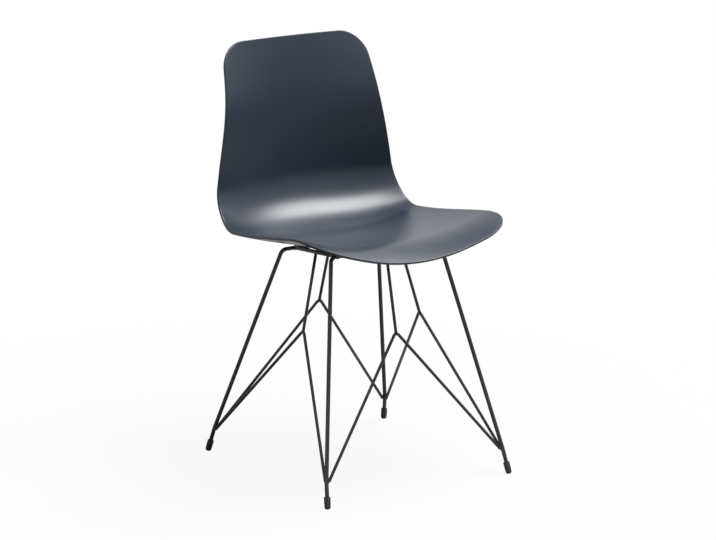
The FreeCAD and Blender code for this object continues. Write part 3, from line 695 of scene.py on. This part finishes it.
for end, leg in legForm.items():
    lap, beside, along = lapPoint(leg, braceForm[end])
    laps = [(lap, beside, along), tuple(mirrored(v, -1) for v in (lap, beside, along))]
    brace(end, braceForm[end], laps, leg["shoulder"] * vec(0, 1, 1), vec(1, 0, 0), vec(0, 1, 0))
for name, side in (("left", 1), ("right", -1)):
    laps = [tuple(mirrored(v, side) for v in lapPoint(leg, braceForm["side"])) for leg in legForm.values()]
    back = braceForm["sideStemBack"]
    top = deckPoint(side * railHalfWidth(back), back)
    railWay = unit(deckPoint(side * railForm["rear"], deckForm["rearRod"][0])
                   - deckPoint(side * railForm["front"], deckForm["frontRod"][0]))
    brace(name, mirrored(braceForm["side"], side), laps, top, railWay, vec(1, 0, 0))
print("scene: wire frame made")

# Foot caps: a tapered plug with a rolled lip round its mouth, its tip worn flat by the floor

def capProfile(form):
    # Tip, tapered wall, groove, lip, mouth, bore and the bore's floor, from the axis round to the axis
    bore, chamfer = rodRadius + form["boreClearance"], form["boreChamfer"]
    tip, mouth, length = form["tipRadius"], form["mouthRadius"], form["length"]
    tipRounding, lipRounding, start = form["tipRounding"], form["lipRounding"], form["lipStart"]
    slope = (mouth - tip) / length
    wallTop = tip + slope * start
    groove = wallTop - form["grooveDepth"]
    profile = [(0, 0)] + quarter((tip - tipRounding, tipRounding), tipRounding, -90, 0, steps=9)
    profile += [(tip + slope * start * share, start * share) for share in form["wallShares"]]
    profile += [(wallTop, start), (groove, start + form["grooveStart"]),
                (groove, start + form["grooveEnd"]), (mouth - form["lipTaper"], start + form["lipRise"])]
    profile += quarter((mouth - lipRounding, length - lipRounding), lipRounding, 0, 90)
    profile += [(bore + chamfer, length), (bore, length - chamfer)]
    profile += [(bore, form["floor"]), (0, form["floor"])]
    return profile


for end, leg in legForm.items():
    for name, side in (("left", 1), ("right", -1)):
        foot, up = mirrored(capTip(capForm, leg), side), mirrored(unit(leg["ankle"] - leg["foot"]), side)
        points, faces = turned(capProfile(capForm), foot, up, vec(0, 1, 0))
        points[..., 2] = np.maximum(points[..., 2], 0)   # the part below the floor is pressed flat on it
        cap = welded(meshFrom(f"{end}_{name}_cap", [(points, faces)]))
        dress(cap, "cap_plastic", f"{end}_{name}_foot_cap")
print("scene: foot caps made")

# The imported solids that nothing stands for: plates, pads, screws, washers and inserts

slots = {part["node"]: part["material_slot"] for part in frame["record"]["subparts"]}
for name, node in frame["nodes"].items():
    if not node.hide_render:
        node.data.materials.clear()
        node.data.materials.append(finishes[slots[name]])

# Floor, backdrop and lights. The pale surroundings are white where the camera sees them.

studioForm = {"floorReach": 60, "floorColour": (160, 160, 160), "floorRoughness": 0.9,
              "shadowShare": 0.1, "shadowReach": 1.3, "skyLow": 0.55, "skyHigh": 0.35, "skyFront": 0.3}
lampForms = {
    "overhead": {"aim": vec(0, 0, 480), "azimuth": 60, "elevation": 66, "distance": 2600,
                 "size": (1900, 1400), "power": 180},
    "sideFill": {"aim": vec(0, 0, 480), "azimuth": 108, "elevation": 30, "distance": 3200,
                 "size": (2200, 1400), "power": 25},
}


def towards(azimuth, elevation):
    # Unit vector from the chair: azimuth 0 is in front of the sitter and 90 to the sitter's left.
    a, e = math.radians(azimuth), math.radians(elevation)
    return vec(math.sin(a) * math.cos(e), -math.cos(a) * math.cos(e), math.sin(e))


def makeLamp(name, form):
    data = bpy.data.lights.new(name, "AREA")
    data.shape = "RECTANGLE"
    data.size, data.size_y = form["size"][0] * mm, form["size"][1] * mm
    data.energy = form["power"]
    lamp = bpy.data.objects.new(name, data)
    out = towards(form["azimuth"], form["elevation"])
    along = unit(vec(1, 0, 0) - out * out[0])
    turn = Matrix(np.stack([along, np.cross(out, along), out], 1).tolist()).to_4x4()
    lamp.matrix_world = Matrix.Translation(((form["aim"] + out * form["distance"]) * mm).tolist()) @ turn
    bpy.context.scene.collection.objects.link(lamp)


def raysOf(paint, *kinds):
    # 1 for the rays of the kinds named, which see the surroundings as white, and 0 for all others
    path = paint.node("ShaderNodeLightPath")
    total = 0.0
    for kind in kinds:
        total = total + Num(paint, path.outputs[f"Is {kind} Ray"])
    return total.clamped()


def makeFloor(form):
    reach = form["floorReach"]
    mesh = bpy.data.meshes.new("floor")
    corners = [(-reach, -reach, 0), (reach, -reach, 0), (reach, reach, 0), (-reach, reach, 0)]
    mesh.from_pydata(corners, [], [(0, 1, 2, 3)])
    plane = bpy.data.objects.new("floor", mesh)
    bpy.context.scene.collection.objects.link(plane)
    paint = Paint("paleFloor")
    paint.finish(Base_Color=linear(*form["floorColour"]), Roughness=form["floorRoughness"])
    glow = paint.node("ShaderNodeEmission", Color=white, Strength=1.0)
    length = paint.node("ShaderNodeVectorMath", {"operation": "LENGTH"}, Vector=paint.where)
    near = (1 - Num(paint, length.outputs["Value"]) / form["shadowReach"]).clamped()
    seen = raysOf(paint, "Camera", "Transmission") * (1 - near * form["shadowShare"])
    mix = paint.node("ShaderNodeMixShader")
    paint.feed(mix.inputs[0], seen)
    paint.feed(mix.inputs[1], paint.shader.outputs[0])
    paint.feed(mix.inputs[2], glow.outputs[0])
    paint.feed(paint.output.inputs["Surface"], mix.outputs[0])
    mesh.materials.append(paint.material)


class Sky(Paint):
    # The world's nodes, used in the same way as a material's.

    def __init__(self, name):
        self.world = bpy.data.worlds.new(name)
        self.world.use_nodes = True
        self.tree = self.world.node_tree
        self.shader = self.tree.nodes["Background"]
        bpy.context.scene.world = self.world


def makeSky(form):
    sky = Sky("studio")
    direction = sky.node("ShaderNodeTexCoord").outputs["Generated"]
    parts = sky.node("ShaderNodeSeparateXYZ", Vector=direction)
    back, up = Num(sky, parts.outputs["Y"]), Num(sky, parts.outputs["Z"])
    behind = (back * 0.5 + 0.5).clamped()
    level = form["skyFront"] + behind * (form["skyLow"] - form["skyFront"])
    level = level + up.maths("MAXIMUM", up, 0.0) * (form["skyHigh"] - form["skyLow"])
    seen = raysOf(sky, "Camera", "Glossy", "Transmission")
    sky.finish(Color=white, Strength=seen + (1 - seen) * level)


makeFloor(studioForm)
makeSky(studioForm)
for name, form in lampForms.items():
    makeLamp(name, form)
bpy.context.scene.view_settings.view_transform = "Standard"
print("scene: studio ready")
